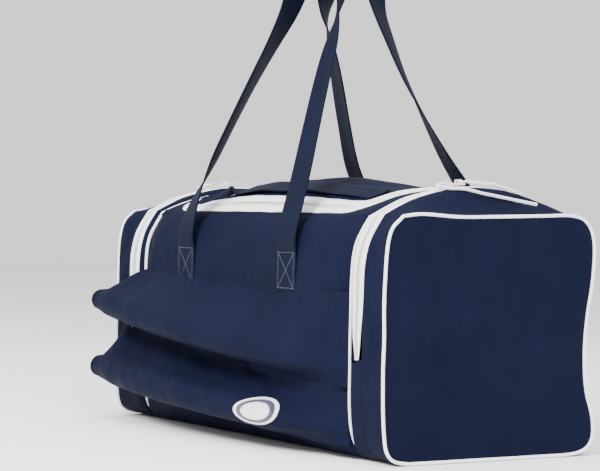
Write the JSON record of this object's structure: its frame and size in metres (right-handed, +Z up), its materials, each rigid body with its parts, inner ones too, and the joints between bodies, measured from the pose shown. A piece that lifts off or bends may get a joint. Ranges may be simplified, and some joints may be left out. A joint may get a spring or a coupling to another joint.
{
  "type": "equipment bag",
  "caption": "Boxy canvas equipment bag with a zipped lid, a zipped pocket at each end, bat sleeves on the front, white piping and long webbing handles.",
  "frame": {"origin": "centre of the flat bottom, where the bag stands", "axes": "+X along the bag, from the end with the sleeve mouths to the other end; -Y is the front with the sleeves; +Z up"},
  "size_m": [0.78, 0.4315, 0.7372],
  "materials": {
    "canvas": "navy coated canvas",
    "webbing": "ribbed navy webbing",
    "lining": "matt lining",
    "piping": "white corded piping",
    "zip_tape": "white woven zipper tape",
    "zip_teeth": "white zipper coil",
    "slider_metal": "white enamelled metal",
    "pull_cord": "white braided cord",
    "base_board": "black board",
    "emblem_thread": "white embroidery"
  },
  "bodies": {
    "bag": {"base_board": "base_board", "bottom_panel": "canvas", "front_panel": "canvas", "back_panel": "canvas", "top_panel": "canvas", "left_partition": "lining", "right_partition": "lining", "left_main_piping": "piping", "right_main_piping": "piping", "lid_zip_body_tape": "zip_tape", "lid_zip_body_teeth": "zip_teeth", "left_pocket_body": "canvas", "left_end_panel_foot": "canvas", "left_end_piping_foot": "piping", "left_zip_inner_tape": "zip_tape", "left_zip_inner_teeth": "zip_teeth", "right_pocket_body": "canvas", "right_end_panel_foot": "canvas", "right_end_piping_foot": "piping", "right_zip_inner_tape": "zip_tape", "right_zip_inner_teeth": "zip_teeth", "pocket_zip_stops": "zip_teeth", "sleeve_yoke": "canvas", "upper_sleeve": "canvas", "lower_sleeve": "canvas", "emblem_patch": "emblem_thread", "front_handle_anchors": "webbing", "back_handle_anchors": "webbing"},
    "lid": {"lid_panel": "canvas", "lid_zip_lid_tape": "zip_tape", "lid_zip_lid_teeth": "zip_teeth", "lid_strap": "webbing"},
    "lid_slider": {"lid_slider": "slider_metal"},
    "lid_pull": {"lid_pull_ring": "slider_metal", "lid_pull_cord": "pull_cord"},
    "front_handle": {"front_handle": "webbing"},
    "back_handle": {"back_handle": "webbing"},
    "left_flap": {"left_zip_outer_tape": "zip_tape", "left_zip_outer_teeth": "zip_teeth", "left_gusset": "canvas", "left_end_panel": "canvas", "left_end_piping": "piping"},
    "left_front_slider": {"left_front_slider": "slider_metal", "left_front_ring": "slider_metal", "left_front_cord": "pull_cord"},
    "left_back_slider": {"left_back_slider": "slider_metal"},
    "left_back_pull": {"left_back_ring": "slider_metal", "left_back_cord": "pull_cord"},
    "right_flap": {"right_zip_outer_tape": "zip_tape", "right_zip_outer_teeth": "zip_teeth", "right_gusset": "canvas", "right_end_panel": "canvas", "right_end_piping": "piping"},
    "right_front_slider": {"right_front_slider": "slider_metal", "right_front_ring": "slider_metal", "right_front_cord": "pull_cord"},
    "right_back_slider": {"right_back_slider": "slider_metal"},
    "right_back_pull": {"right_back_ring": "slider_metal", "right_back_cord": "pull_cord"}
  },
  "joints": [
    {"name": "lid_hinge", "type": "hinge", "parent": "bag", "child": "lid", "pos_m": [0, 0.125, 0.34479], "axis": [-1, 0, 0], "range_deg": [0, 55]},
    {"name": "lid_slider_run", "type": "hinge", "parent": "lid", "child": "lid_slider", "pos_m": [0.256, 0, 0.07123], "axis": [1, 0, 0], "range_deg": [0, 31]},
    {"name": "lid_pull_swing", "type": "hinge", "parent": "lid_slider", "child": "lid_pull", "pos_m": [0.256, 0.07161, 0.37045], "axis": [1, 0, 0], "range_deg": [0, 60]},
    {"name": "left_flap_hinge", "type": "hinge", "parent": "bag", "child": "left_flap", "pos_m": [-0.39, 0, 0.1352], "axis": [0, -1, 0], "range_deg": [0, 45]},
    {"name": "left_front_slider_run", "type": "hinge", "parent": "left_flap", "child": "left_front_slider", "pos_m": [-0.326, 0, 0.07123], "axis": [1, 0, 0], "range_deg": [0, 8]},
    {"name": "left_back_slider_run", "type": "hinge", "parent": "left_flap", "child": "left_back_slider", "pos_m": [-0.326, 0, 0.07123], "axis": [-1, 0, 0], "range_deg": [0, 6]},
    {"name": "left_back_pull_swing", "type": "hinge", "parent": "left_back_slider", "child": "left_back_pull", "pos_m": [-0.326, -0.02046, 0.37822], "axis": [1, 0, 0], "range_deg": [0, 60]},
    {"name": "right_flap_hinge", "type": "hinge", "parent": "bag", "child": "right_flap", "pos_m": [0.39, 0, 0.1352], "axis": [0, 1, 0], "range_deg": [0, 45]},
    {"name": "right_front_slider_run", "type": "hinge", "parent": "right_flap", "child": "right_front_slider", "pos_m": [0.326, 0, 0.07123], "axis": [1, 0, 0], "range_deg": [0, 8]},
    {"name": "right_back_slider_run", "type": "hinge", "parent": "right_flap", "child": "right_back_slider", "pos_m": [0.326, 0, 0.07123], "axis": [-1, 0, 0], "range_deg": [0, 6]},
    {"name": "right_back_pull_swing", "type": "hinge", "parent": "right_back_slider", "child": "right_back_pull", "pos_m": [0.326, -0.02046, 0.37822], "axis": [1, 0, 0], "range_deg": [0, 60]},
    {"name": "front_handle_swing", "type": "hinge", "parent": "bag", "child": "front_handle", "pos_m": [0, -0.184, 0.297], "axis": [1, 0, 0], "range_deg": [0, 140]},
    {"name": "back_handle_swing", "type": "hinge", "parent": "bag", "child": "back_handle", "pos_m": [0, 0.184, 0.297], "axis": [-1, 0, 0], "range_deg": [0, 140]}
  ]
}
